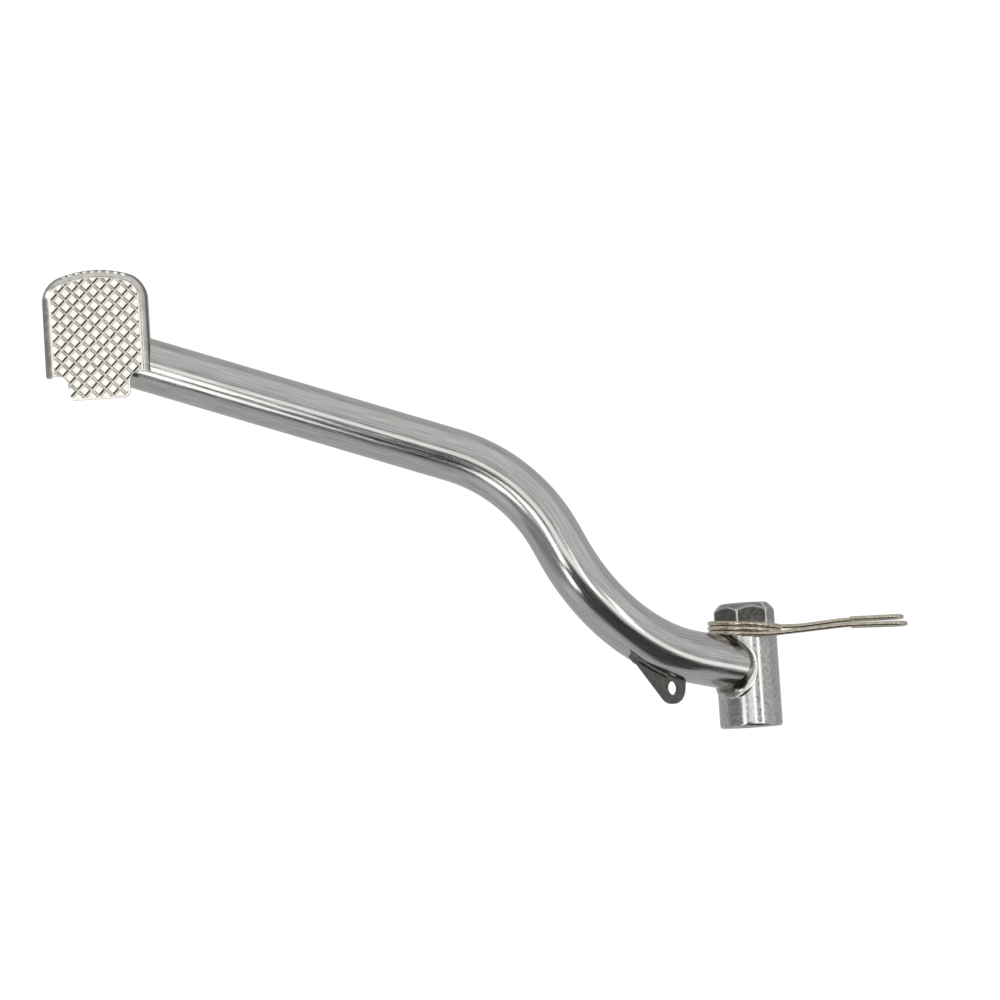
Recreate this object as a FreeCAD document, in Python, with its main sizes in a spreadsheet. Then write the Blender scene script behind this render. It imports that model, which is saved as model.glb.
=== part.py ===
"""Rear brake pedal of a light motorbike, as a parametric document.

A bent steel tube carries a pressed foot pad at its front end and a pivot hub at its rear end.
A small lug under the tube takes the brake rod, a hex-headed pivot bolt runs in the hub, and a
torsion return spring sits round the hub's outer end with both tails pointing to the rear.

Frame: millimetres, origin on the pivot axis at the mouth of the pivot bolt's tapped hole, +Y
outwards along the pivot, +Z up (the tread faces up) and -X to the front of the bike.
"""

import FreeCAD, Part
import math
import os
import Sketcher

Vector = FreeCAD.Vector
UP = Vector(0, 0, 1)
OUTWARDS = Vector(0, 1, 0)

doc = FreeCAD.newDocument("brake_pedal")
sheet = doc.addObject("Spreadsheet::Sheet", "sizes")

# alias, value in millimetres or degrees, what it is
SIZES = [
    ("tube_dia", 20.0, "outside diameter of the arm tube"),
    ("tube_wall", 2.0, "wall of the arm tube"),
    ("bend_radius", 65.0, "centreline radius of both bends"),
    ("front_run", 175.1, "open front end to the first corner"),
    ("front_angle", 20.2, "front run, swung outwards from the bike's length"),
    ("mid_straight", 6.87, "straight length left between the two bends"),
    ("mid_angle", 64.3, "middle run, swung outwards from the bike's length"),
    ("rise_run", 67.5, "second corner to the pivot axis"),
    ("rise_angle", 39.0, "climb of the rear run from the hub"),
    ("rise_lean", 12.3, "rear run, swung outwards from the bike's length"),
    ("hub_inner_margin", 13.0, "hub inwards of the tube"),
    ("hub_outer_margin", 5.4, "hub outwards of the tube"),
    ("hub_dia", 24.0, "outside diameter of the hub"),
    ("hub_bore", 15.0, "bore of the hub"),
    ("hub_chamfer", 1.0, "chamfer on the hub's ends"),
    ("hub_weld_leg", 1.7, "throat radius of the weld between tube and hub"),
    ("pad_width", 39.4, "foot pad, side to side"),
    ("pad_height", 48.7, "foot pad, tab included"),
    ("pad_sheet", 1.8, "sheet that the pad is pressed from"),
    ("pad_skirt", 6.0, "depth of the folded rim under the sheet"),
    ("pad_rim", 3.2, "outside radius of the folded rim"),
    ("pad_corner", 10.0, "radius of the pad's outer corners"),
    ("pad_crown", 41.0, "radius of the pad's outer edge"),
    ("pad_inset", 10.3, "pad centre line back from the tube's front end"),
    ("pad_drop", 19.3, "tab's edge inwards of the tube axis at the pad centre line"),
    ("tab_width", 23.4, "narrow tab at the pad's inner edge"),
    ("tab_height", 9.4, "length of that tab"),
    ("tab_corner", 2.6, "corner radius of the tab"),
    ("notch_radius", 3.6, "hollow radius beside the tab"),
    ("tread_pitch", 3.72, "spacing of the crossed tread grooves"),
    ("tread_depth", 0.55, "height of the tread studs"),
    ("groove_mouth", 1.5, "groove width at the studs' tops"),
    ("groove_floor", 0.15, "groove width at the sheet"),
    ("tread_margin", 3.4, "plain rim left round the tread"),
    ("tab_margin", 0.5, "plain edge left round the tread on the tab"),
    ("pad_seat_gap", 0.1, "fit between tube and pad"),
    ("pad_weld_length", 26.0, "weld beads between tube and pad"),
    ("pad_weld_reach", 6.5, "reach of those beads out from the tube's top line"),
    ("lug_sheet", 1.8, "thickness of the brake rod lug"),
    ("lug_hole", 5.4, "hole in the lug"),
    ("lug_end", 6.0, "radius of the lug's free end"),
    ("lug_margin", 3.3, "lug hole's centre from the tube's wall"),
    ("lug_station", 37.8, "lug hole from the pivot axis, along the rear run"),
    ("lug_slant", 38.7, "slope of the lug's front edge against the tube"),
    ("lug_weld_leg", 1.0, "leg of the weld along the lug"),
    ("hex_flats", 21.0, "bolt head across flats"),
    ("hex_height", 8.9, "bolt head height"),
    ("hex_turn", 12.4, "turn of the head's corners about the pivot axis"),
    ("hex_bevel", 45.0, "bevel of the head's top"),
    ("hex_face", 18.0, "flat face on the head's top"),
    ("journal_fit", 0.05, "radial clearance of the bolt in the hub"),
    ("head_gap", 0.3, "side play between bolt head and hub"),
    ("journal_recess", 3.0, "bolt end, inside the hub's inner face"),
    ("thread_dia", 8.5, "tapped hole in the bolt's end"),
    ("thread_depth", 24.0, "depth of the tapped hole"),
    ("wire_dia", 1.8, "spring wire"),
    ("coil_clearance", 0.5, "spring coil, radially clear of the head's corners"),
    ("coil_turns", 2.5, "turns of the spring"),
    ("coil_pitch", 1.85, "rise of one turn"),
    ("coil_overlap", 3.0, "first turn, inside the hub's outer end"),
    ("coil_lean", 4.5, "lean of the loose spring, rear side inwards"),
    ("tail_sweep", 60.0, "radius of the bends in both tails"),
    ("tail_length", 8.0, "upper tail up to its bend"),
    ("tail_bend", 8.9, "outward bend of the upper tail"),
    ("peak_length", 30.0, "upper tail from its bend to its peak"),
    ("low_tail_length", 5.0, "lower tail up to its dip"),
    ("low_tail_dip", 4.5, "inward dip of the lower tail"),
    ("low_dip_length", 14.0, "lower tail from its dip to its bend"),
    ("low_tail_bend", 12.0, "outward bend of the lower tail"),
    ("low_peak_length", 19.0, "lower tail from its bend to its peak"),
    ("tail_droop", 5.0, "inward droop of each tail past its peak"),
    ("hook_length", 18.0, "spring tail from its peak to the hook"),
    ("hook_radius", 5.0, "hook at the end of each tail"),
    ("hook_return", 15.0, "straight leg after the hook"),
]

for row, (alias, number, note) in enumerate(SIZES, start=1):
    sheet.set(f"A{row}", alias)
    sheet.set(f"B{row}", str(number))
    sheet.setAlias(f"B{row}", alias)
    sheet.set(f"C{row}", note)
doc.recompute()


def size(alias):
    """One driving dimension as a plain number."""
    return float(sheet.get(alias))


def turned(degrees):
    """Cosine and sine of an angle in degrees."""
    return math.cos(math.radians(degrees)), math.sin(math.radians(degrees))


# Lines that several pieces share

def on_pivot(station):
    """Point on the pivot axis, measured from the hub's inner face."""
    return OUTWARDS * (station - size("journal_recess"))


def along_pivot(station):
    """Placement on the pivot axis whose own Z points outwards."""
    return FreeCAD.Placement(on_pivot(station), FreeCAD.Rotation(UP, OUTWARDS))


def arm_station():
    """Where the tube's axis meets the hub, from the hub's inner face."""
    return size("hub_inner_margin") + size("tube_dia") / 2


def hub_length():
    return arm_station() + size("tube_dia") / 2 + size("hub_outer_margin")


def lug_reach():
    """The lug hole's centre from the tube axis."""
    return size("tube_dia") / 2 + size("lug_margin")


def rear_direction():
    """Unit vector along the rear run, from the second corner down to the hub."""
    level, climb = turned(size("rise_angle"))
    along, lean = turned(size("rise_lean"))
    return Vector(level * along, -level * lean, -climb)


def swung_inwards(degrees):
    """Unit vector to the rear at the arm's level, swung inwards by an angle."""
    along, across = turned(degrees)
    return Vector(along, -across, 0)


def bend_reach(before, after):
    """Length that a bend between two runs takes up on each of them."""
    return size("bend_radius") * math.tan(before.getAngle(after) / 2)


def arm_corners():
    """The tube's centreline as corner points, from the open front end to the pivot axis."""
    front_run = swung_inwards(size("front_angle"))
    mid_run = swung_inwards(size("mid_angle"))
    rear_run = rear_direction()
    mid_length = bend_reach(front_run, mid_run) + size("mid_straight") + bend_reach(mid_run, rear_run)
    hub_point = on_pivot(arm_station())
    second = hub_point - rear_run * size("rise_run")
    first = second - mid_run * mid_length
    front = first - front_run * size("front_run")
    return [front, first, second, hub_point]


def rounded_path(points, radius):
    """Straight runs joined by tangent arcs of one radius."""
    edges = []
    start = points[0]
    for before, corner, after in zip(points, points[1:], points[2:]):
        inward = (corner - before).normalize()
        outward = (after - corner).normalize()
        half_turn = inward.getAngle(outward) / 2
        reach = radius * math.tan(half_turn)
        middle = (outward - inward).normalize() * (radius / math.cos(half_turn) - radius)
        arc_start = corner - inward * reach
        arc_end = corner + outward * reach
        edges.append(Part.LineSegment(start, arc_start).toShape())
        edges.append(Part.Arc(arc_start, corner + middle, arc_end).toShape())
        start = arc_end
    edges.append(Part.LineSegment(start, points[-1]).toShape())
    return Part.Wire(edges)


def frame_placement(origin, x_axis, z_axis):
    """Placement whose own X and Z axes lie along the given directions."""
    y_axis = z_axis.cross(x_axis)
    rotation = FreeCAD.Rotation(x_axis, y_axis, z_axis, "ZXY")
    return FreeCAD.Placement(origin, rotation)


def shape_feature(name, shape):
    """A document object that holds a shape worked out from the sheet."""
    feature = doc.addObject("Part::Feature", name)
    feature.Shape = shape
    return feature


def primitive(kind, name, placement=None, **bindings):
    """A Part primitive whose properties are bound to the sheet."""
    solid = doc.addObject(f"Part::{kind}", name)
    for prop, expression in bindings.items():
        solid.setExpression(prop, expression)
    if placement is not None:
        solid.Placement = placement
    return solid


def cut(name, base, tool):
    result = doc.addObject("Part::Cut", name)
    result.Base = base
    result.Tool = tool
    return result


HUB_LENGTH = "sizes.hub_inner_margin + sizes.tube_dia + sizes.hub_outer_margin"

# Pivot hub: a turned sleeve with chamfered ends

def make_hub():
    body = doc.addObject("PartDesign::Body", "pivot_hub")
    plane = next(f for f in body.Origin.OriginFeatures if f.Role == "XY_Plane")
    ring = body.newObject("Sketcher::SketchObject", "hub_section")
    ring.AttachmentSupport = [(plane, "")]
    ring.MapMode = "FlatFace"
    for alias in ("hub_dia", "hub_bore"):
        circle = ring.addGeometry(Part.Circle(Vector(0, 0, 0), UP, size(alias) / 2))
        ring.addConstraint(Sketcher.Constraint("Coincident", circle, 3, -1, 1))
        rule = ring.addConstraint(Sketcher.Constraint("Diameter", circle, size(alias)))
        ring.setExpression(f"Constraints[{rule}]", f"sizes.{alias}")
    sleeve = body.newObject("PartDesign::Pad", "hub_sleeve")
    sleeve.Profile = ring
    sleeve.setExpression("Length", HUB_LENGTH)
    doc.recompute()
    rims = [
        f"Edge{number}"
        for number, edge in enumerate(sleeve.Shape.Edges, start=1)
        if isinstance(edge.Curve, Part.Circle)
    ]
    bevel = body.newObject("PartDesign::Chamfer", "hub_ends")
    bevel.Base = (sleeve, rims)
    bevel.setExpression("Size", "sizes.hub_chamfer")
    body.Placement = along_pivot(0)
    return body


# Arm: one bent tube, coped to the hub

def swept(name, section, spine):
    sweep = doc.addObject("Part::Sweep", name)
    sweep.Sections = [section]
    sweep.Spine = (spine, [f"Edge{n + 1}" for n in range(len(spine.Shape.Edges))])
    sweep.Solid = True
    sweep.Frenet = False
    return sweep


def make_arm():
    corners = arm_corners()
    path = shape_feature("arm_line", rounded_path(corners, size("bend_radius")))
    start = FreeCAD.Placement(corners[0], FreeCAD.Rotation(UP, corners[1] - corners[0]))
    outside = primitive("Circle", "arm_outside", start, Radius="sizes.tube_dia / 2")
    inside = primitive("Circle", "arm_inside", start, Radius="sizes.tube_dia / 2 - sizes.tube_wall")
    doc.recompute()
    solid_arm = swept("arm_solid", outside, path)
    hollow = cut("arm_hollow", solid_arm, swept("arm_core", inside, path))
    envelope = primitive(
        "Cylinder", "hub_envelope", along_pivot(0), Radius="sizes.hub_dia / 2", Height=HUB_LENGTH
    )
    return cut("arm_tube", hollow, envelope), path, solid_arm, envelope


# Foot pad: pressed sheet with a folded rim, a plain tab and a tread of crossed grooves

def pad_placement():
    """Pad frame: X across, Y towards the outer edge, Z up, zero at the tab's edge under the sheet."""
    front, first = arm_corners()[:2]
    centre = front + (first - front).normalize() * size("pad_inset")
    lift = size("tube_dia") / 2 + size("pad_seat_gap")
    return FreeCAD.Placement(centre + Vector(0, -size("pad_drop"), lift), FreeCAD.Rotation())


def pad_outline(inset, foot):
    """Rounded outline of the pad above its tab, moved in by inset, down to the height foot."""
    half = size("pad_width") / 2 - inset
    corner = size("pad_corner") - inset
    crown = size("pad_crown") - inset
    crown_centre = size("pad_height") - size("pad_crown")
    corner_x = half - corner
    corner_y = crown_centre + math.sqrt((crown - corner) ** 2 - corner_x**2)
    touch = Vector(corner_x, corner_y - crown_centre, 0).normalize() * crown
    touch_right = touch + Vector(0, crown_centre, 0)
    touch_left = Vector(-touch_right.x, touch_right.y, 0)
    turn = math.atan2(touch.y, touch.x) / 2
    swing = Vector(math.cos(turn), math.sin(turn), 0) * corner
    corner_right = Vector(corner_x, corner_y, 0) + swing
    corner_left = Vector(-corner_right.x, corner_right.y, 0)
    side_right = Vector(half, corner_y, 0)
    side_left = Vector(-half, corner_y, 0)
    top = Vector(0, crown_centre + crown, 0)
    foot_right, foot_left = Vector(half, foot, 0), Vector(-half, foot, 0)
    edges = [
        Part.LineSegment(foot_right, side_right),
        Part.Arc(side_right, corner_right, touch_right),
        Part.Arc(touch_right, top, touch_left),
        Part.Arc(touch_left, corner_left, side_left),
        Part.LineSegment(side_left, foot_left),
        Part.LineSegment(foot_left, foot_right),
    ]
    return Part.Wire([edge.toShape() for edge in edges])


def prism(wire, low, high):
    """A closed outline extruded between two heights."""
    face = Part.Face(wire)
    face.translate(Vector(0, 0, low))
    return face.extrude(Vector(0, 0, high - low))


def round_top(solid, radius, height, foot):
    """Rounds the rim of the solid's upper face, apart from the open foot."""
    rim = [
        edge
        for edge in solid.Edges
        if all(abs(v.Z - height) < 1e-6 for v in edge.Vertexes)
        and abs(edge.CenterOfMass.z - height) < 1e-6
        and abs(edge.CenterOfMass.y - foot) > 1e-6
    ]
    return solid.makeFillet(radius, rim)


def tab_outline(inset):
    """Tab with round corners below and hollow fillets where it meets the pad."""
    half = size("tab_width") / 2 - inset
    corner = size("tab_corner")
    hollow = size("notch_radius") + inset
    foot = size("tab_height") - inset
    root = size("tab_height") + size("pad_sheet")
    diagonal = math.sqrt(0.5)

    def right_side():
        bottom = Vector(half - corner, inset, 0)
        bend = Vector(half - corner * (1 - diagonal), inset + corner * (1 - diagonal), 0)
        side = Vector(half, inset + corner, 0)
        waist = Vector(half, foot - hollow + inset, 0)
        curl = Vector(half + hollow * (1 - diagonal), foot + inset - hollow * (1 - diagonal), 0)
        shoulder = Vector(half + hollow, foot + inset, 0)
        return bottom, bend, side, waist, curl, shoulder

    right = right_side()
    left = [Vector(-p.x, p.y, 0) for p in right]
    top_right, top_left = Vector(right[5].x, root, 0), Vector(left[5].x, root, 0)
    edges = [
        Part.LineSegment(left[0], right[0]),
        Part.Arc(right[0], right[1], right[2]),
        Part.LineSegment(right[2], right[3]),
        Part.Arc(right[3], right[4], right[5]),
        Part.LineSegment(right[5], top_right),
        Part.LineSegment(top_right, top_left),
        Part.LineSegment(top_left, left[5]),
        Part.Arc(left[5], left[4], left[3]),
        Part.LineSegment(left[3], left[2]),
        Part.Arc(left[2], left[1], left[0]),
    ]
    return Part.Wire([edge.toShape() for edge in edges])


def make_grooves(angle):
    """Parallel tapered grooves across the whole tread, as separate cutters."""
    floor, top = size("pad_sheet"), size("pad_sheet") + size("tread_depth")
    slope = (size("groove_mouth") - size("groove_floor")) / 2 / size("tread_depth")
    over = top + size("tread_depth")
    wide = size("groove_floor") / 2 + slope * (over - floor)
    narrow = size("groove_floor") / 2
    length = size("pad_width") + size("pad_height")
    pitch = size("tread_pitch")
    count = math.ceil(length / 2 / pitch)
    middle = Vector(0, size("pad_height") / 2, 0)
    cutters = []
    for step in range(-count, count + 1):
        across = (step + 0.5) * pitch
        section = [
            Vector(-length / 2, across - narrow, floor),
            Vector(-length / 2, across + narrow, floor),
            Vector(-length / 2, across + wide, over),
            Vector(-length / 2, across - wide, over),
        ]
        cutter = Part.Face(Part.makePolygon(section + section[:1])).extrude(Vector(length, 0, 0))
        cutter.rotate(Vector(0, 0, 0), UP, angle)
        cutter.translate(middle)
        cutters.append(cutter)
    return Part.Compound(cutters)


def make_pad():
    sheet_top, tab = size("pad_sheet"), size("tab_height")
    skirt, rim = size("pad_skirt"), size("pad_rim")
    shell = round_top(prism(pad_outline(0, tab), -skirt, sheet_top), rim, sheet_top, tab)
    inner_foot = -size("pad_height")
    hollow = prism(pad_outline(sheet_top, inner_foot), -2 * skirt, 0)
    shell = shell.cut(round_top(hollow, rim - sheet_top, 0, inner_foot))
    base = shell.fuse(prism(tab_outline(0), 0, sheet_top)).removeSplitter()

    root = sheet_top / 2
    crest = sheet_top + size("tread_depth")
    margin, edge = size("tread_margin"), size("tab_margin")
    tread = prism(pad_outline(margin, tab), root, crest)
    tread = tread.fuse(prism(tab_outline(edge), root, crest)).removeSplitter()
    for angle in (45, -45):
        tread = tread.cut(make_grooves(angle))
    pressed = shape_feature("pad_pressed", base.fuse(tread))
    pressed.Placement = pad_placement()

    front, first = arm_corners()[:2]
    seat = primitive(
        "Cylinder",
        "pad_seat",
        FreeCAD.Placement(front, FreeCAD.Rotation(UP, first - front)),
        Radius="sizes.tube_dia / 2 + sizes.pad_seat_gap / 2",
        Height="sizes.front_run",
    )
    return cut("foot_pad", pressed, seat)


def make_pad_weld(name, side):
    """A bead on one side of the tube, filling the wedge under the pad's sheet."""
    front, first = arm_corners()[:2]
    along = (first - front).normalize()
    across = UP.cross(along) * side
    radius = size("tube_dia") / 2
    top = radius + size("pad_seat_gap")
    reach = size("pad_weld_reach")
    near, far = reach * 0.35, reach * 0.85
    start = front + along * (size("pad_inset") - size("pad_weld_length") / 2)

    def on_tube(x):
        return start + across * x + UP * math.sqrt(radius**2 - x**2)

    outer, inner = start + across * reach + UP * top, start + across * near + UP * top
    edges = [
        Part.Arc(on_tube(near), on_tube((near + far) / 2), on_tube(far)),
        Part.LineSegment(on_tube(far), outer),
        Part.LineSegment(outer, inner),
        Part.LineSegment(inner, on_tube(near)),
    ]
    outline = Part.Wire([edge.toShape() for edge in edges])
    return shape_feature(name, Part.Face(outline).extrude(along * size("pad_weld_length")))


# Brake rod lug: flat plate in the plane of the tube's rear run

def lug_placement():
    """Lug frame: X along the rear run to the hub, Y away from the tube, zero at the hole."""
    along = rear_direction()
    away = Vector(0, -1, 0)
    away = (away - along * away.dot(along)).normalize()
    hub_point = arm_corners()[-1]
    hole = hub_point - along * size("lug_station") + away * lug_reach()
    return frame_placement(hole, along, along.cross(away))


def lug_outline():
    """Round free end with a straight slanting front edge and a foot inside the tube."""
    end = size("lug_end")
    along, rise = turned(size("lug_slant"))
    root = -lug_reach() - size("tube_wall")
    touch = Vector(-rise, along, 0) * end
    heel = touch - Vector(along, rise, 0) * ((touch.y - root) / rise)
    half_turn = math.atan2(touch.y, touch.x) / 2
    crest = Vector(math.cos(half_turn), math.sin(half_turn), 0) * end
    side = Vector(end, 0, 0)
    toe = Vector(end, root, 0)
    edges = [
        Part.LineSegment(heel, toe),
        Part.LineSegment(toe, side),
        Part.Arc(side, crest, touch),
        Part.LineSegment(touch, heel),
    ]
    return Part.Wire([edge.toShape() for edge in edges])


def make_lug(solid_arm):
    half = size("lug_sheet") / 2
    blank = shape_feature("lug_blank", prism(lug_outline(), -half, half))
    blank.Placement = lug_placement()
    pierce = lug_placement()
    pierce = pierce.multiply(FreeCAD.Placement(Vector(0, 0, -size("lug_sheet")), FreeCAD.Rotation()))
    drill = primitive(
        "Cylinder", "lug_drill", pierce, Radius="sizes.lug_hole / 2", Height="sizes.lug_sheet * 2"
    )
    return cut("rod_lug", cut("lug_drilled", blank, drill), solid_arm)


def make_lug_weld(name, side, arm_path, solid_arm):
    """A bead along one face of the lug's foot."""
    half, leg = size("lug_sheet") / 2, size("lug_weld_leg")
    low, high = sorted((side * half, side * (half + leg)))
    clear_of_hole = size("lug_hole") / 2 + leg
    reach = 2 * size("tube_dia")
    foot = Part.makeBox(reach, reach, leg)
    foot.translate(Vector(-reach - clear_of_hole, -reach / 2, low))
    strip = shape_feature(f"{name}_strip", prism(lug_outline(), low, high).common(foot))
    strip.Placement = lug_placement()
    corners = arm_corners()
    start = FreeCAD.Placement(corners[0], FreeCAD.Rotation(UP, corners[1] - corners[0]))
    ring = primitive("Circle", f"{name}_ring", start, Radius="sizes.tube_dia / 2 + sizes.lug_weld_leg")
    doc.recompute()
    band = doc.addObject("Part::Common", f"{name}_band")
    band.Base, band.Tool = strip, swept(f"{name}_reach", ring, arm_path)
    return cut(name, band, solid_arm)


# Weld between tube and hub: a hollow fillet run right round the joint

def make_hub_weld(solid_arm, envelope):
    joined = solid_arm.Shape.fuse(envelope.Shape).removeSplitter()
    hub_radius, tube_radius = size("hub_dia") / 2, size("tube_dia") / 2
    hub_point, along = arm_corners()[-1], rear_direction()
    seam = []
    for edge in joined.Edges:
        points = edge.discretize(9)
        on_hub = all(abs(math.hypot(p.x, p.z) - hub_radius) < 0.01 for p in points)
        on_tube = all(abs((p - hub_point).cross(along).Length - tube_radius) < 0.01 for p in points)
        if on_hub and on_tube:
            seam.append(edge)
    filled = joined.makeFillet(size("hub_weld_leg"), seam)
    return shape_feature("hub_weld", filled.cut(joined))


# Pivot bolt: bevelled hex head, plain journal and a tapped end

def make_bolt():
    head_start = along_pivot(hub_length() + size("head_gap"))
    head_start.Rotation = head_start.Rotation.multiply(FreeCAD.Rotation(UP, size("hex_turn")))
    head = primitive("Prism", "bolt_hex", head_start)
    head.Polygon = 6
    head.setExpression("Circumradius", "sizes.hex_flats / 2 / cos(30 deg)")
    head.setExpression("Height", "sizes.hex_height")
    bevel = primitive(
        "Cone",
        "bolt_bevel",
        along_pivot(hub_length() + size("head_gap")),
        Radius2="sizes.hex_face / 2",
        Radius1="sizes.hex_face / 2 + sizes.hex_height / tan(sizes.hex_bevel * 1 deg)",
        Height="sizes.hex_height",
    )
    crown = doc.addObject("Part::Common", "bolt_crown")
    crown.Base, crown.Tool = head, bevel
    journal = primitive(
        "Cylinder",
        "bolt_journal",
        along_pivot(size("journal_recess")),
        Radius="sizes.hub_bore / 2 - sizes.journal_fit",
        Height=f"{HUB_LENGTH} + sizes.head_gap + sizes.hex_height / 2 - sizes.journal_recess",
    )
    blank = doc.addObject("Part::Fuse", "bolt_blank")
    blank.Base, blank.Tool = crown, journal
    tapping = primitive(
        "Cylinder",
        "bolt_tapping",
        along_pivot(0),
        Radius="sizes.thread_dia / 2",
        Height="sizes.journal_recess + sizes.thread_depth",
    )
    return cut("pivot_bolt", blank, tapping)


# Return spring: loose torsion coil round the hub's outer end, two hooked tails to the rear

def coil_radius():
    """Coil centreline, clear of the head's corners."""
    corner = size("hex_flats") / 2 / math.cos(math.radians(30))
    return corner + size("coil_clearance") + size("wire_dia") / 2


def tail_edges(start, heading, legs, side):
    """A tail of straight legs, each bent outwards from the last, that ends in a hook to the middle."""
    bend_axis = heading.cross(UP)
    points = [start]
    for bend, length in legs:
        heading = FreeCAD.Rotation(bend_axis, bend).multVec(heading)
        points.append(points[-1] + heading * length)
    tail = rounded_path(points, size("tail_sweep"))
    across = heading.cross(UP).normalize() * (side * size("hook_radius"))
    hook_tip = points[-1] + across + heading * size("hook_radius")
    hook_end = points[-1] + across * 2
    hook = Part.Arc(points[-1], hook_tip, hook_end)
    leg = Part.LineSegment(hook_end, hook_end - heading * size("hook_return"))
    return tail.OrderedEdges + [hook.toShape(), leg.toShape()]


def spring_placement():
    """Spring frame: Z outwards along the coil, X up, Y to the rear, leaning on the hub."""
    lean = FreeCAD.Rotation(UP, -size("coil_lean"))
    middle = size("coil_pitch") * size("coil_turns") / 2
    centre = on_pivot(hub_length() - size("coil_overlap") + middle)
    upright = FreeCAD.Rotation(UP, Vector(1, 0, 0), OUTWARDS, "ZXY")
    placed = FreeCAD.Placement(centre, lean.multiply(upright))
    return placed.multiply(FreeCAD.Placement(Vector(0, 0, -middle), FreeCAD.Rotation()))


def make_spring():
    pitch, turns = size("coil_pitch"), size("coil_turns")
    coil = Part.makeHelix(pitch, pitch * turns, coil_radius(), 0, True).Edges[0]
    low, high = coil.FirstParameter, coil.LastParameter
    last_leg = (-size("tail_droop"), size("hook_length"))
    upper_legs = [
        (0, size("tail_length")),
        (size("tail_bend"), size("peak_length")),
        last_leg,
    ]
    lower_legs = [
        (0, size("low_tail_length")),
        (-size("low_tail_dip"), size("low_dip_length")),
        (size("low_tail_bend"), size("low_peak_length")),
        last_leg,
    ]
    upper = tail_edges(coil.valueAt(low), -coil.tangentAt(low), upper_legs, -1)
    lower = tail_edges(coil.valueAt(high), coil.tangentAt(high), lower_legs, 1)
    line = Part.Wire(upper[::-1] + [coil] + lower)
    path = shape_feature("spring_line", line)
    path.Placement = spring_placement()
    tip = path.Shape.Edges[0]
    ends = [v.Point for v in tip.Vertexes]
    heel = path.Shape.OrderedVertexes[0].Point
    inner = max(ends, key=lambda p: (p - heel).Length)
    section = primitive(
        "Circle",
        "spring_section",
        FreeCAD.Placement(heel, FreeCAD.Rotation(UP, inner - heel)),
        Radius="sizes.wire_dia / 2",
    )
    doc.recompute()
    return swept("return_spring", section, path)


# The pieces, in the order they are welded and fitted

hub = make_hub()
arm, arm_path, solid_arm, envelope = make_arm()
doc.recompute()
pad = make_pad()
front_bead = make_pad_weld("pad_weld_outer", 1)
rear_bead = make_pad_weld("pad_weld_inner", -1)
lug = make_lug(solid_arm)
upper_bead = make_lug_weld("lug_weld_upper", 1, arm_path, solid_arm)
lower_bead = make_lug_weld("lug_weld_lower", -1, arm_path, solid_arm)
hub_bead = make_hub_weld(solid_arm, envelope)
bolt = make_bolt()
spring = make_spring()
doc.recompute()

PIECES = [arm, hub, hub_bead, pad, front_bead, rear_bead, lug, upper_bead, lower_bead, bolt, spring]

for item in doc.Objects:
    if "Invalid" in item.State or "Error" in item.State:
        raise RuntimeError(f"{item.Name} did not rebuild")

os.makedirs("parts", exist_ok=True)
for piece in PIECES:
    piece.Label = piece.Name
    shape = piece.Shape
    if shape.isNull() or not shape.isValid():
        raise RuntimeError(f"{piece.Name} is not a sound solid")
    if len(shape.Solids) != 1:
        raise RuntimeError(f"{piece.Name} is {len(shape.Solids)} solids")
    shape.exportStep(f"parts/{piece.Label}.step")
    box = shape.optimalBoundingBox(False)
    print(f"{piece.Label}: {shape.Volume:.0f} mm3, X {box.XMin:.1f}..{box.XMax:.1f}, "
          f"Y {box.YMin:.1f}..{box.YMax:.1f}, Z {box.ZMin:.1f}..{box.ZMax:.1f}")
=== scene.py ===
import math

import bpy
import numpy as np
from mathutils import Matrix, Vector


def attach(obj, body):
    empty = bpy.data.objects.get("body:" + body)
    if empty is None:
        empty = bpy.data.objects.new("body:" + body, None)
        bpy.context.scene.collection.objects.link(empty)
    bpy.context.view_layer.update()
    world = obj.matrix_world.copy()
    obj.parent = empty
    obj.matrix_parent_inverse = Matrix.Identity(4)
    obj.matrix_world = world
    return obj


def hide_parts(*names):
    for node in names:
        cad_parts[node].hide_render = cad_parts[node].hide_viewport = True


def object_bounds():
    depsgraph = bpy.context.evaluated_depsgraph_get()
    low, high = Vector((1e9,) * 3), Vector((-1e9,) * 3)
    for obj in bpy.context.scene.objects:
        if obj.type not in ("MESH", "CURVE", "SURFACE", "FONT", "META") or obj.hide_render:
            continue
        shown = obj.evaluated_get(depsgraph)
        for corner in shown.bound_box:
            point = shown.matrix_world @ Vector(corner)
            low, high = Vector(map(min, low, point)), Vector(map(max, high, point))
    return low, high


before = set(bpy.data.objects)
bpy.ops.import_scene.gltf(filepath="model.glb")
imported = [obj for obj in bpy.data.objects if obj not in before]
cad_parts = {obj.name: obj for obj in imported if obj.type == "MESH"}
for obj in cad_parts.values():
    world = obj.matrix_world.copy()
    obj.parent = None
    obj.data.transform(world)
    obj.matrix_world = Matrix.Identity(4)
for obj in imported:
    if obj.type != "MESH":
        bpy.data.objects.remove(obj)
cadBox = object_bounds()
mm = 0.001
outAxis = np.array([0.0, 1.0, 0.0])
upAxis = np.array([0.0, 0.0, 1.0])
print("frame loaded")


# Small helpers

def hexToLinear(code):
    # sRGB hex to linear RGBA
    channels = np.array([int(code[i:i + 2], 16) for i in (1, 3, 5)]) / 255
    linear = np.where(channels <= 0.04045, channels / 12.92, ((channels + 0.055) / 1.055) ** 2.4)
    return (*linear.tolist(), 1.0)


def unit(vector):
    vector = np.asarray(vector, float)
    return vector / np.linalg.norm(vector, axis=-1, keepdims=True)


def onceRound(count):
    # evenly spaced angles round a full turn
    return np.linspace(0, 2 * math.pi, count, endpoint=False)


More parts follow.
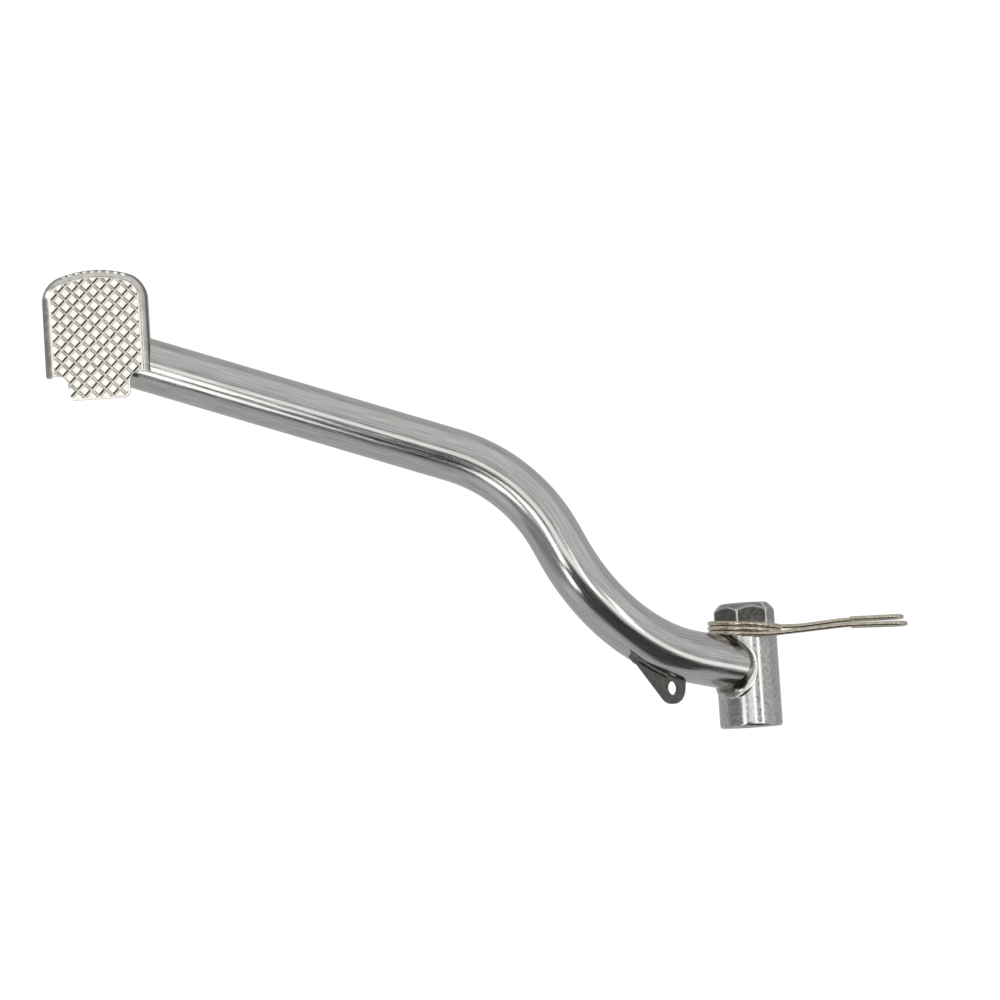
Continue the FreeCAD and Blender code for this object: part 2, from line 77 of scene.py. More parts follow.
def addNode(tree, kind, settings=None, inputs=None, links=None):
    # settings are node properties, inputs are socket values, links are (socket, from node, from socket)
    node = tree.nodes.new(kind)
    for key, value in (settings or {}).items():
        setattr(node, key, value)
    for key, value in (inputs or {}).items():
        node.inputs[key].default_value = value
    for key, source, output in links or []:
        tree.links.new(source.outputs[output], node.inputs[key])
    return node


def setStops(ramp, stops):
    # stops of a colour ramp as (position, linear colour), lowest first
    elements = ramp.color_ramp.elements
    for position, colour in stops[1:-1]:
        elements.new(position)
    for element, (position, colour) in zip(elements, stops):
        element.position = position
        element.color = colour


def newMaterial(name):
    material = bpy.data.materials.new(name)
    material.use_nodes = True
    tree = material.node_tree
    tree.nodes.clear()
    output = tree.nodes.new("ShaderNodeOutputMaterial")
    return material, tree, output


def addMetal(tree, output, links, inputs=None):
    values = {"Metallic": 1.0, **(inputs or {})}
    shader = addNode(tree, "ShaderNodeBsdfPrincipled", inputs=values, links=links)
    tree.links.new(shader.outputs["BSDF"], output.inputs["Surface"])


def gridFaces(rows, columns, closeRows=False, closeColumns=False):
    # quads of a grid of points, row by row, joined round where a direction is closed
    r = np.arange(rows if closeRows else rows - 1)[:, None]
    c = np.arange(columns if closeColumns else columns - 1)[None, :]
    nextR = (r + 1) % rows
    nextC = (c + 1) % columns
    corners = [r * columns + c, r * columns + nextC, nextR * columns + nextC, nextR * columns + c]
    return np.stack(np.broadcast_arrays(*corners), axis=-1).reshape(-1, 4)


def signedVolume(points, faces):
    # positive where the faces point outwards; quads are enough to tell
    quads = np.array([face for face in faces if len(face) == 4])
    a, b, c, d = (points[quads[:, i]] for i in range(4))
    return (np.cross(a, b) * c).sum() + (np.cross(a, c) * d).sum()


def newPiece(name, points, faces, material, body, node=None, uv=None, smooth=True):
    # a mesh object at the origin, its place in its points
    points = points.reshape(-1, 3)
    if signedVolume(points, faces) < 0:
        faces = [face[::-1] for face in faces]
    mesh = bpy.data.meshes.new(name)
    mesh.from_pydata(points.tolist(), [], [list(face) for face in faces])
    if uv is not None:
        layer = mesh.uv_layers.new(name="along")
        loopVerts = np.empty(len(mesh.loops), int)
        mesh.loops.foreach_get("vertex_index", loopVerts)
        layer.data.foreach_set("uv", uv.reshape(-1, 2)[loopVerts].ravel())
    mesh.polygons.foreach_set("use_smooth", np.full(len(mesh.polygons), smooth))
    mesh.update()
    piece = bpy.data.objects.new(name, mesh)
    bpy.context.scene.collection.objects.link(piece)
    mesh.materials.append(material)
    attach(piece, body)
    if node:
        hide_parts(node)
    return piece


# Bright chrome over drawn tube: a mirror with fine lengthwise polishing lines that feather the highlights

chrome = {
    "dark": (0.3, "#a8a7a4"), "light": (0.65, "#d2d2d0"),
    "lineWidth": 0.35 * mm, "lineLength": 14 * mm, "lineDepth": 0.012 * mm, "lineDetail": 3.0, "relief": 0.5,
    "roughness": {"From Min": 0.3, "From Max": 0.75, "To Min": 0.09, "To Max": 0.26},
}


def makeChromeTube():
    material, tree, output = newMaterial("chromedDrawnTube")
    where = addNode(tree, "ShaderNodeUVMap", {"uv_map": "along"})
    stretch = addNode(tree, "ShaderNodeMapping",
                      inputs={"Scale": (1 / chrome["lineLength"], 1 / chrome["lineWidth"], 1)},
                      links=[("Vector", where, "UV")])
    lines = addNode(tree, "ShaderNodeTexNoise", inputs={"Scale": 1.0, "Detail": chrome["lineDetail"]},
                    links=[("Vector", stretch, "Vector")])
    rough = addNode(tree, "ShaderNodeMapRange", inputs=chrome["roughness"], links=[("Value", lines, "Fac")])
    tone = addNode(tree, "ShaderNodeValToRGB", links=[("Fac", lines, "Fac")])
    setStops(tone, [(position, hexToLinear(code)) for position, code in (chrome["dark"], chrome["light"])])
    bump = addNode(tree, "ShaderNodeBump",
                   inputs={"Strength": chrome["relief"], "Distance": chrome["lineDepth"]},
                   links=[("Height", lines, "Fac")])
    addMetal(tree, output, [("Base Color", tone, "Color"), ("Roughness", rough, "Result"),
                            ("Normal", bump, "Normal")])
    return material


# Plated steel: a metal whose grain, given as a real size, mottles its tone and breaks up its gloss; it can
# also carry painted shade down a fold and painted highlights on sharp edges

plating = {
    "detail": 2.0, "fineness": 0.5, "relief": 0.5, "darkUpTo": 0.35, "lightFrom": 0.65,
    # share of the grain's height over which the roughness goes from its lowest to its highest factor
    "glossFrom": 0.3, "glossTo": 0.7, "glossLow": 0.6, "glossHigh": 1.4,
    # painted shade: depths below the top of a folded sheet between which its tone is painted darker, down to
    # a share
    "foldFrom": 0.2 * mm, "foldTo": 1.8 * mm, "foldShadeShare": 0.18,
    # sharpness of the surface between which the painted highlight on edges comes in
    "edgeFrom": 0.505, "edgeTo": 0.54,
}
# colour sockets of the mix node, which can't be told apart by name
mixSockets = {"first": 6, "second": 7, "result": 2}


def makePlated(name, light, dark, roughness, grain, depth, foldTop=None, edgeHighlightColour=None):
    material, tree, output = newMaterial(name)
    where = addNode(tree, "ShaderNodeTexCoord")
    grains = addNode(tree, "ShaderNodeTexNoise",
                     inputs={"Scale": 1 / grain, "Detail": plating["detail"],
                             "Roughness": plating["fineness"]},
                     links=[("Vector", where, "Object")])
    tone = addNode(tree, "ShaderNodeValToRGB", links=[("Fac", grains, "Fac")])
    setStops(tone, [(plating["darkUpTo"], hexToLinear(dark)), (plating["lightFrom"], hexToLinear(light))])
    rough = addNode(tree, "ShaderNodeMapRange",
                    inputs={"From Min": plating["glossFrom"], "From Max": plating["glossTo"],
                            "To Min": roughness * plating["glossLow"],
                            "To Max": roughness * plating["glossHigh"]},
                    links=[("Value", grains, "Fac")])
    bump = addNode(tree, "ShaderNodeBump", inputs={"Strength": plating["relief"], "Distance": depth},
                   links=[("Height", grains, "Fac")])
    colour = (tone, "Color")
    if foldTop is not None:
        # painted shade: the tone is darkened where the sheet folds down below its top, standing in for the
        # shade of the bend
        place = addNode(tree, "ShaderNodeSeparateXYZ", links=[("Vector", where, "Object")])
        paintedFoldShade = addNode(tree, "ShaderNodeMapRange",
                       inputs={"From Min": foldTop - plating["foldTo"],
                               "From Max": foldTop - plating["foldFrom"],
                               "To Min": plating["foldShadeShare"], "To Max": 1.0},
                       links=[("Value", place, "Z")])
        shade = addNode(tree, "ShaderNodeVectorMath", {"operation": "SCALE"},
                        links=[("Vector", tone, "Color"), ("Scale", paintedFoldShade, "Result")])
        colour = (shade, "Vector")
    if edgeHighlightColour is not None:
        # painted highlight: the outer edges are painted bright, standing in for the light they catch
        shape = addNode(tree, "ShaderNodeNewGeometry")
        highlightMask = addNode(tree, "ShaderNodeMapRange",
                       inputs={"From Min": plating["edgeFrom"], "From Max": plating["edgeTo"]},
                       links=[("Value", shape, "Pointiness")])
        mix = addNode(tree, "ShaderNodeMix", {"data_type": "RGBA"},
                      {mixSockets["second"]: hexToLinear(edgeHighlightColour)},
                      [("Factor", highlightMask, "Result"), (mixSockets["first"], tone, "Color")])
        colour = (mix, mixSockets["result"])
    addMetal(tree, output, [("Base Color", *colour), ("Roughness", rough, "Result"),
                            ("Normal", bump, "Normal")])
    return material


chromeTube = makeChromeTube()
# the pad's folded rim carries painted shade below foldTop
chromePad = makePlated("chromedPressedSheet", "#e6e4dc", "#d0cec5",
                       roughness=0.16, grain=2.5 * mm, depth=0.004 * mm, foldTop=54.35 * mm)
# painted highlight: the studs take a brighter copy of the pad's chrome, so they read as bright points on the
# rim that is painted darker
highlitStudChrome = makePlated("highlitChromedStud", "#fbfbf8", "#f0f0ec",
                        roughness=0.16, grain=2.5 * mm, depth=0.004 * mm)
nickelHub = makePlated("platedTurnedSteel", "#c6c6c4", "#adadab",
                       roughness=0.17, grain=1.5 * mm, depth=0.014 * mm)
# the hex carries painted highlights on its sharp edges
zincHex = makePlated("brightZincHex", "#787773", "#666562",
                     roughness=0.12, grain=1.4 * mm, depth=0.005 * mm, edgeHighlightColour="#efefec")
dullWeld = makePlated("dullWeldBead", "#a9a8a4", "#8f8e89",
                      roughness=0.35, grain=1.5 * mm, depth=0.006 * mm)
lugWeld = makePlated("platedLugBead", "#7d7c79", "#5f5e5b",
                     roughness=0.3, grain=1.5 * mm, depth=0.006 * mm)
lugSteel = makePlated("platedSheetSteel", "#6c6c69", "#5b5b58",
                      roughness=0.26, grain=1.5 * mm, depth=0.003 * mm)
springSteel = makePlated("platedSpringWire", "#d2cbbb", "#b3aa98",
                         roughness=0.13, grain=1.6 * mm, depth=0.002 * mm)


# Plated weld bead: painted shade in its hollow and painted highlights on the lip and at the tube's toe, as
# colour across the bead; the UV runs across the bead

beadGlossAndPaintedLight = {
    "roughness": 0.16,
    "shadeAndHighlight": [(0.0, "#c9c8c4"), (0.14, "#76756f"), (0.5, "#5f5e59"), (0.64, "#b5b4af"), (0.8, "#d4d3ce"),
              (1.0, "#b2b2b0")],
}


def makeWeldPlate():
    material, tree, output = newMaterial("platedWeldBead")
    where = addNode(tree, "ShaderNodeUVMap", {"uv_map": "along"})
    across = addNode(tree, "ShaderNodeSeparateXYZ", links=[("Vector", where, "UV")])
    # painted shade and painted highlight across the bead, by the share across it
    tone = addNode(tree, "ShaderNodeValToRGB", links=[("Fac", across, "Y")])
    setStops(tone, [(position, hexToLinear(code)) for position, code in beadGlossAndPaintedLight["shadeAndHighlight"]])
    addMetal(tree, output, [("Base Color", tone, "Color")], {"Roughness": beadGlossAndPaintedLight["roughness"]})
    return material


weldPlate = makeWeldPlate()
print("finishes made")


# Arm: one bent tube, swept along straight runs and tangent arcs, its rear end coped to the hub

arm = {
    "tubeRadius": 10 * mm, "wall": 2 * mm, "bendRadius": 65 * mm,
    "frontRun": 175.1 * mm, "frontAngle": 20.2, "midRun": 71.8 * mm, "midAngle": 64.3,
    "riseRun": 67.5 * mm, "riseAngle": 39.0, "riseLean": 12.3,
    "hubPoint": (0, 20 * mm, 0), "around": 128, "step": 1.5 * mm,
    # the rear end lies a little inside the hub's skin; the front end has a rounded edge and some rows of bore
    "sunk": 0.6 * mm, "edgeShare": 0.15, "edgeBulge": 0.2 * mm, "boreRows": 20,
}
hub = {
    "radius": 12 * mm, "bore": 7.5 * mm, "inner": -3 * mm, "outer": 35.4 * mm,
    "edge": 1.2 * mm, "lip": 0.6 * mm, "wallRows": 40, "cornerRows": 7, "around": 160,
}


def runDirection(angle):
    # level run swung outwards by angle, heading to the rear
    return np.array([math.cos(math.radians(angle)), -math.sin(math.radians(angle)), 0.0])


climb = math.radians(arm["riseAngle"])
lean = math.radians(arm["riseLean"])
rearWay = np.array([math.cos(climb) * math.cos(lean), -math.cos(climb) * math.sin(lean), -math.sin(climb)])
hubPoint = np.array(arm["hubPoint"])
secondCorner = hubPoint - rearWay * arm["riseRun"]
firstCorner = secondCorner - runDirection(arm["midAngle"]) * arm["midRun"]
frontEnd = firstCorner - runDirection(arm["frontAngle"]) * arm["frontRun"]


def roundedPath(corners, radius, step):
    # points and headings along straight runs joined by tangent arcs, and how many points the last run has
    points = []
    headings = []
    start = corners[0]
    for before, corner, after in zip(corners, corners[1:], corners[2:]):
        inward = unit(corner - before)
        outward = unit(after - corner)
        turn = math.acos(np.clip(inward @ outward, -1, 1))
        reach = radius * math.tan(turn / 2)
        arcStart = corner - inward * reach
        run = np.linalg.norm(arcStart - start)
        t = np.linspace(0, 1, max(2, int(run / step)))[:-1, None]
        points.append(start + (arcStart - start) * t)
        headings.append(np.repeat(inward[None], len(t), 0))
        side = unit(outward - inward * (inward @ outward))
        angle = np.linspace(0, turn, max(3, int(radius * turn / step)))[:-1, None]
        points.append(arcStart + inward * radius * np.sin(angle) + side * radius * (1 - np.cos(angle)))
        headings.append(inward * np.cos(angle) + side * np.sin(angle))
        start = corner + outward * reach
    run = np.linalg.norm(corners[-1] - start)
    t = np.linspace(0, 1, max(2, int(run / step)))[:, None]
    points.append(start + (corners[-1] - start) * t)
    headings.append(np.repeat(unit(corners[-1] - start)[None], len(t), 0))
    return np.concatenate(points), np.concatenate(headings), len(t)


def reachHub(points, radius):
    # how far each point goes along the rear run until it meets a cylinder round the pivot
    level = rearWay[[0, 2]]
    flat = points[:, [0, 2]]
    a = level @ level
    b = flat @ level
    c = (flat ** 2).sum(1) - radius ** 2
    return (-b - np.sqrt(b * b - a * c)) / a


def makeArm():
    corners = [frontEnd, firstCorner, secondCorner, hubPoint]
    points, headings, lastCount = roundedPath(corners, arm["bendRadius"], arm["step"])
    crest = unit(upAxis - headings * (headings @ upAxis)[:, None])
    side = np.cross(headings, crest)
    around = onceRound(arm["around"])
    spoke = crest[:, None] * np.cos(around)[None, :, None] + side[:, None] * np.sin(around)[None, :, None]
    skin = points[:, None] + spoke * arm["tubeRadius"]
    # the rear run stops just inside the hub's skin: each line along the tube meets it at its own length
    runStart = skin[-lastCount]
    reach = reachHub(runStart, hub["radius"] - arm["sunk"])
    t = np.linspace(0, 1, lastCount)[:, None, None]
    skin[-lastCount:] = runStart + rearWay * reach[None, :, None] * t
    # the open front end turns in to the bore
    depth = arm["boreRows"]
    bore = points[:depth, None] + spoke[:depth] * (arm["tubeRadius"] - arm["wall"])
    rounded = skin[0] + (bore[0] - skin[0]) * arm["edgeShare"] - headings[0] * arm["edgeBulge"]
    skin = np.concatenate([bore[::-1], rounded[None], skin])
    along = np.concatenate([-np.arange(depth + 1)[::-1], np.arange(len(points))]) * arm["step"]
    girth = np.abs(around - math.pi) * arm["tubeRadius"]
    uv = np.stack(np.broadcast_arrays(along[:, None], girth[None]), -1)
    faces = gridFaces(*skin.shape[:2], closeColumns=True)
    return newPiece("armTube", skin, faces, chromeTube, "pedal", "arm_tube", uv)


makeArm()
print("arm swept")


# Pivot hub: a turned sleeve with rounded ends, spun about the pivot axis

def spun(profile, around):
    # profile of (radius, distance along +Y) carried round the pivot
    angle = onceRound(around)[None]
    radius = profile[:, 0][:, None]
    height = profile[:, 1][:, None]
    return np.stack(np.broadcast_arrays(radius * np.cos(angle), height, radius * np.sin(angle)), -1)


def roundCorner(centre, radius, first, last):
    angle = np.radians(np.linspace(first, last, hub["cornerRows"]))
    return np.stack([centre[0] + radius * np.cos(angle), centre[1] + radius * np.sin(angle)], -1)


def makeHub():
    inner = hub["inner"]
    outer = hub["outer"]
    edge = hub["edge"]
    lip = hub["lip"]
    edgeCentre = hub["radius"] - edge
    lipCentre = hub["bore"] + lip
    wall = np.linspace(inner + edge, outer - edge, hub["wallRows"])[1:-1]
    profile = np.concatenate([
        roundCorner((lipCentre, inner + lip), lip, 180, 270),
        roundCorner((edgeCentre, inner + edge), edge, -90, 0),
        np.stack([np.full(len(wall), hub["radius"]), wall], -1),
        roundCorner((edgeCentre, outer - edge), edge, 0, 90),
        roundCorner((lipCentre, outer - lip), lip, 90, 180),
    ])
    skin = spun(profile, hub["around"])
    faces = gridFaces(*skin.shape[:2], closeRows=True, closeColumns=True)
    return newPiece("pivotHub", skin, faces, nickelHub, "pedal", "pivot_hub")


makeHub()


# Weld round the tube's foot: a hollow bead from the tube's skin to the hub's, with a lip and faint ripples

weld = {
    "tubeToe": 2.6 * mm, "hubToe": 3.2 * mm, "sag": 0.3, "ripple": 0.012 * mm, "ripples": 40,
    "lip": 0.7 * mm, "lipPlace": 0.78, "lipWidth": 0.1, "toeSink": 0.12 * mm, "rootDepth": 1.0 * mm,
    # shares by which the toes shrink near the spring, and shrink or spread on the tube's upper side
    "tubeShy": 0.5, "hubShy": 0.7, "tubeSpread": 0.4, "hubSpread": 1.3,
    "around": 368, "across": 20,
}


def makeHubWeld():
    crest = unit(upAxis - rearWay * (rearWay @ upAxis))
    side = np.cross(rearWay, crest)
    angle = onceRound(weld["around"])
    spoke = crest * np.cos(angle)[:, None] + side * np.sin(angle)[:, None]
    line = hubPoint + spoke * arm["tubeRadius"]
    seam = line + rearWay * reachHub(line, hub["radius"])[:, None]
    # near the spring the bead is kept low on the hub
    shy = np.clip((seam[:, 1] - hubPoint[1]) / arm["tubeRadius"], 0, 1)[:, None]
    # on the upper side the tube meets the hub at a slant, and the bead spreads over the hub
    spread = np.clip(np.cos(angle), 0, 1)[:, None]
    tubeReach = weld["tubeToe"] * (1 - weld["tubeSpread"] * spread) * (1 - weld["tubeShy"] * shy)
    hubReach = weld["hubToe"] * (1 + weld["hubSpread"] * spread) * (1 - weld["hubShy"] * shy)
    tubeToe = seam - rearWay * tubeReach
    hubToe = seam + spoke * hubReach
    flat = hubToe[:, [0, 2]]
    hubToe[:, [0, 2]] = flat * (hub["radius"] / np.linalg.norm(flat, axis=1))[:, None]
    chord = 0.5 * (tubeToe + hubToe) - seam
    middle = seam + chord * weld["sag"]
    t = np.linspace(0, 1, weld["across"])[None, :, None]
    bead = tubeToe[:, None] * (1 - t) ** 2 + 2 * middle[:, None] * t * (1 - t) + hubToe[:, None] * t ** 2
    lift = unit(chord)
    swell = np.sin(math.pi * t)
    wave = np.sin(angle * weld["ripples"])[:, None, None] * swell * weld["ripple"]
    lip = np.exp(-((t - weld["lipPlace"]) / weld["lipWidth"]) ** 2) * weld["lip"] * (1 - shy[:, None])
    bead = bead + lift[:, None] * (wave + lip - weld["toeSink"] * (1 - swell))
    root = seam - lift * weld["rootDepth"]
    bead = np.concatenate([bead, root[:, None]], axis=1)
    faces = gridFaces(*bead.shape[:2], closeRows=True, closeColumns=True)
    turnShare, acrossShare = np.meshgrid(angle / (2 * math.pi), np.append(t.ravel(), 1.0), indexing="ij")
    uv = np.stack([turnShare, acrossShare], -1)
    return newPiece("hubWeld", bead, faces, weldPlate, "pedal", "hub_weld", uv)


makeHubWeld()
print("hub and weld made")


# Return spring: round wire wound round the hub's outer end, two tails to the rear with inward hooks

spring = {
    "wire": 1.8 * mm, "coilRadius": 13.524 * mm, "pitch": 1.85 * mm, "turns": 2.5, "station": 32.4 * mm,
    "lean": 4.5,
    # legs of each tail: outward bend in degrees, then length
    "upperTail": [(0, 8 * mm), (8.9, 30 * mm), (-5, 18 * mm)],
    "lowerTail": [(0, 5 * mm), (-4.5, 14 * mm), (12, 19 * mm), (-5, 18 * mm)],
    "sweep": 60 * mm, "hookRadius": 5 * mm, "hookReturn": 15 * mm,
    "tailStep": 1.2 * mm, "coilRows": 260, "hookRows": 25, "returnRows": 10, "around": 20,
    # the wire's rounded ends: angles of their rings, and their bulge as a share of the wire's radius
    "endRings": (5, 35, 65), "endBulge": 0.5,
}


def turnAbout(vector, axis, degrees):
    # turns a vector by the right-hand rule about an axis square to it
    angle = math.radians(degrees)
    return vector * math.cos(angle) + np.cross(unit(axis), vector) * math.sin(angle)


def tailPath(start, heading, legs, side):
    # swept legs, then a half-round hook to one side and its straight return
    bendAxis = np.cross(heading, upAxis)
    points = [start]
    for bend, length in legs:
        heading = turnAbout(heading, bendAxis, bend)
        points.append(points[-1] + heading * length)
    straight = roundedPath(points, spring["sweep"], spring["tailStep"])[0]
    across = unit(np.cross(heading, upAxis)) * side
    angle = np.linspace(0, math.pi, spring["hookRows"])[1:, None]
    bow = points[-1] + spring["hookRadius"] * (heading * np.sin(angle) + across * (1 - np.cos(angle)))
    t = np.linspace(0, 1, spring["returnRows"])[1:, None]
    return np.concatenate([straight, bow, bow[-1] - heading * spring["hookReturn"] * t])


def sweptWire(points, radius, around):
    # circle carried along the points, with rounded closed ends and a frame that doesn't twist
    heading = unit(np.gradient(points, axis=0))
    across = np.cross(heading[0], upAxis)
    frames = []
    for way in heading:
        across = unit(across - way * (across @ way))
        frames.append(across)
    across = np.array(frames)
    over = np.cross(heading, across)
    angle = onceRound(around)[None, :, None]
    ring = across[:, None] * np.cos(angle) + over[:, None] * np.sin(angle)
    skin = points[:, None] + ring * radius
    caps = np.radians(np.array(spring["endRings"]))[:, None, None]
    bulge = radius * spring["endBulge"] * np.cos(caps)
    first = points[0] - heading[0] * bulge + ring[0] * radius * np.sin(caps)
    last = points[-1] + heading[-1] * bulge + ring[-1] * radius * np.sin(caps)
    return np.concatenate([first, skin, last[::-1]])


def makeSpring():
    radius = spring["coilRadius"]
    angle = np.linspace(0, 2 * math.pi * spring["turns"], spring["coilRows"])
    rise = spring["pitch"] / (2 * math.pi)
    # coil frame: Z along the coil, X up, Y to the rear; left-handed, starting on the upper side
    coil = np.stack([radius * np.cos(angle), -radius * np.sin(angle), rise * angle], -1)
    way = unit(np.array([0, radius, -rise]))
    upper = tailPath(coil[0], way, spring["upperTail"], -1)
    lower = tailPath(coil[-1], way * np.array([1, 1, -1]), spring["lowerTail"], 1)
    line = np.concatenate([upper[::-1], coil[1:-1], lower])
    middle = spring["pitch"] * spring["turns"] / 2
    line[:, 2] -= middle
    placed = line[:, [1, 2, 0]]
    turn = math.radians(-spring["lean"])
    spin = np.array([[math.cos(turn), -math.sin(turn), 0], [math.sin(turn), math.cos(turn), 0], [0, 0, 1]])
    placed = placed @ spin.T + outAxis * (spring["station"] + middle)
    skin = sweptWire(placed, spring["wire"] / 2, spring["around"])
    rings, count = skin.shape[:2]
    faces = gridFaces(rings, count, closeColumns=True).tolist()
    faces.append(list(range(count))[::-1])
    faces.append([(rings - 1) * count + i for i in range(count)])
    return newPiece("returnSpring", skin, faces, springSteel, "pivot", "return_spring")


makeSpring()
print("spring wound")


# Pivot bolt: hex head with softened corners and a bevelled top, plain journal, tapped end

bolt = {
    "flats": 21 * mm, "corner": 47.6, "under": 35.7 * mm, "top": 44.6 * mm, "face": 9 * mm, "bevel": 45.0,
    "soft": 0.22 * mm, "chamfer": 0.44 * mm, "crestIn": 0.066 * mm, "crestDown": 0.044 * mm, "sharpness": 55,
    "journal": 7.45 * mm, "tap": 4.25 * mm, "tapDepth": 24 * mm, "axis": 0.001 * mm, "around": 288,
    # rows up the flats, in over the bevel and in over the top, as shares
    "flatRows": (0.1, 0.5, 0.9), "bevelRows": (0.88, 0.5, 0.15), "topRows": (0.9, 0.4),
}


def makeBolt():
    angle = onceRound(bolt["around"])
    # distance to the hexagon: a high power mean over its six sides, which rounds the corners a little
    sides = math.radians(bolt["corner"] + 30) + np.arange(6) * math.pi / 3
    facing = np.clip(np.cos(angle[:, None] - sides), 0, 1) ** bolt["sharpness"]
    hexRadius = bolt["flats"] / 2 / facing.sum(1) ** (1 / bolt["sharpness"])
    slope = math.tan(math.radians(bolt["bevel"]))
    soft = bolt["soft"]
    chamfer = bolt["chamfer"]
    face = bolt["face"]
    tap = bolt["tap"]
    tapEnd = bolt["tapDepth"]
    journal = bolt["journal"]
    under = bolt["under"]
    top = bolt["top"]
    shoulder = top - (hexRadius - face) * slope
    # rows of (radius, distance along +Y), from the bottom of the tapped hole out and round to the top
    rows = [
        (bolt["axis"], tapEnd), (tap - soft, tapEnd), (tap, tapEnd - soft), (tap, soft), (tap + soft, 0),
        (journal - chamfer, 0), (journal, chamfer), (journal, under - soft), (journal + soft, under),
        (hexRadius - soft, under), (hexRadius, under + soft),
    ]
    rows += [(hexRadius, under + (shoulder - under) * t) for t in bolt["flatRows"]]
    rows += [(hexRadius, shoulder - soft), (hexRadius - bolt["crestIn"], shoulder - bolt["crestDown"])]
    rows += [(face + (hexRadius - face) * t, top - (hexRadius - face) * t * slope) for t in bolt["bevelRows"]]
    rows += [(face - soft, top), *((face * t, top) for t in bolt["topRows"]), (bolt["axis"], top)]
    radius = np.stack([np.broadcast_to(r, angle.shape) for r, h in rows])
    height = np.stack([np.broadcast_to(h, angle.shape) for r, h in rows])
    skin = np.stack([radius * np.cos(angle), height, radius * np.sin(angle)], -1)
    faces = gridFaces(*skin.shape[:2], closeColumns=True)
    return newPiece("pivotBolt", skin, faces, zincHex, "pivot", "pivot_bolt")


makeBolt()
print("bolt made")


# Rim studs: the tread runs on over the fold of the pad's outer rim as a row of small raised points

rimStuds = {
    "count": 9, "pitch": 2.9 * mm, "foot": 1.0 * mm, "tip": 0.7 * mm, "height": 0.35 * mm, "sink": 0.15 * mm,
    "tilt": 48.0, "crown": 41 * mm, "fold": 3.2 * mm, "treadDepth": 0.55 * mm,
}


def makeRimStuds():
    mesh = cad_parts["foot_pad"].data
    corners = np.empty(len(mesh.vertices) * 3)
    mesh.vertices.foreach_get("co", corners)
    corners = corners.reshape(-1, 3)
    low = corners.min(0)
    high = corners.max(0)
    crown = rimStuds["crown"]
    fold = rimStuds["fold"]
    place = np.arange(rimStuds["count"])
    turn = (place - place.mean()) * rimStuds["pitch"] / crown
    radial = np.stack([np.sin(turn), np.cos(turn), np.zeros_like(turn)], -1)
    along = np.stack([np.cos(turn), -np.sin(turn), np.zeros_like(turn)], -1)
    tilt = math.radians(rimStuds["tilt"])
    outward = radial * math.sin(tilt) + upAxis * math.cos(tilt)
    across = np.cross(outward, along)
    foldLine = np.array([(low[0] + high[0]) / 2, high[1] - crown, high[2] - rimStuds["treadDepth"] - fold])
    seat = foldLine + radial * (crown - fold) + outward * fold
    diamond = np.array([(0, -1), (1, 0), (0, 1), (-1, 0)])
    flat = along[:, None] * diamond[None, :, :1] + across[:, None] * diamond[None, :, 1:]
    foot = seat[:, None] + flat * rimStuds["foot"] - outward[:, None] * rimStuds["sink"]
    tip = seat[:, None] + flat * rimStuds["tip"] + outward[:, None] * rimStuds["height"]
    points = np.concatenate([foot, tip], axis=1)
    block = np.array([(3, 2, 1, 0), (4, 5, 6, 7), (0, 1, 5, 4), (1, 2, 6, 5), (2, 3, 7, 6), (3, 0, 4, 7)])
    faces = (place[:, None, None] * points.shape[1] + block).reshape(-1, 4)
    return newPiece("rimStuds", points, faces, highlitStudChrome, "pedal", smooth=False)


makeRimStuds()
print("rim studs set")


# Pieces whose solids are right keep them and get their finish

cadFinish = {
    "foot_pad": chromePad, "rod_lug": lugSteel, "lug_weld_upper": lugWeld,
    "lug_weld_lower": lugWeld, "pad_weld_outer": dullWeld, "pad_weld_inner": dullWeld,
}
for node, material in cadFinish.items():
    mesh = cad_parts[node].data
    mesh.materials.clear()
    mesh.materials.append(material)
print("solids finished")


# Stage: pale floor well under the pedal, soft studio surround, camera over the tread

stage = {"floorDrop": 0.07, "floorSize": 4.0, "floorGrey": 0.9, "whiteShare": 0.9, "whiteStrength": 1.09}
floorHeight = cadBox[0][2] - stage["floorDrop"]


def grey(level):
    return (level, level, level, 1)


def levelSheet(name, size, height, material):
    half = size / 2
    corners = [(-half, -half, height), (half, -half, height), (half, half, height), (-half, half, height)]
    mesh = bpy.data.meshes.new(name)
    mesh.from_pydata(corners, [], [(0, 1, 2, 3)])
    mesh.materials.append(material)
    sheet = bpy.data.objects.new(name, mesh)
    bpy.context.scene.collection.objects.link(sheet)
    return sheet


def makeFloor():
    # matt floor that takes the shadow, seen as white by the camera and in the metal
    material, tree, output = newMaterial("paleFloor")
    light = addNode(tree, "ShaderNodeLightPath")
    seen = addNode(tree, "ShaderNodeMath", {"operation": "MAXIMUM"},
                   links=[(0, light, "Is Camera Ray"), (1, light, "Is Glossy Ray")])
    seen = addNode(tree, "ShaderNodeMath", {"operation": "MAXIMUM"},
                   links=[(0, seen, "Value"), (1, light, "Is Transmission Ray")])
    share = addNode(tree, "ShaderNodeMath", {"operation": "MULTIPLY"}, {1: stage["whiteShare"]},
                    [(0, seen, "Value")])
    matt = addNode(tree, "ShaderNodeBsdfDiffuse", inputs={"Color": grey(stage["floorGrey"])})
    glow = addNode(tree, "ShaderNodeEmission", inputs={"Color": grey(1), "Strength": stage["whiteStrength"]})
    mix = addNode(tree, "ShaderNodeMixShader",
                  links=[(0, share, "Value"), (1, matt, "BSDF"), (2, glow, "Emission")])
    tree.links.new(mix.outputs["Shader"], output.inputs["Surface"])
    floor = levelSheet("floor", stage["floorSize"], floorHeight, material)


makeFloor()

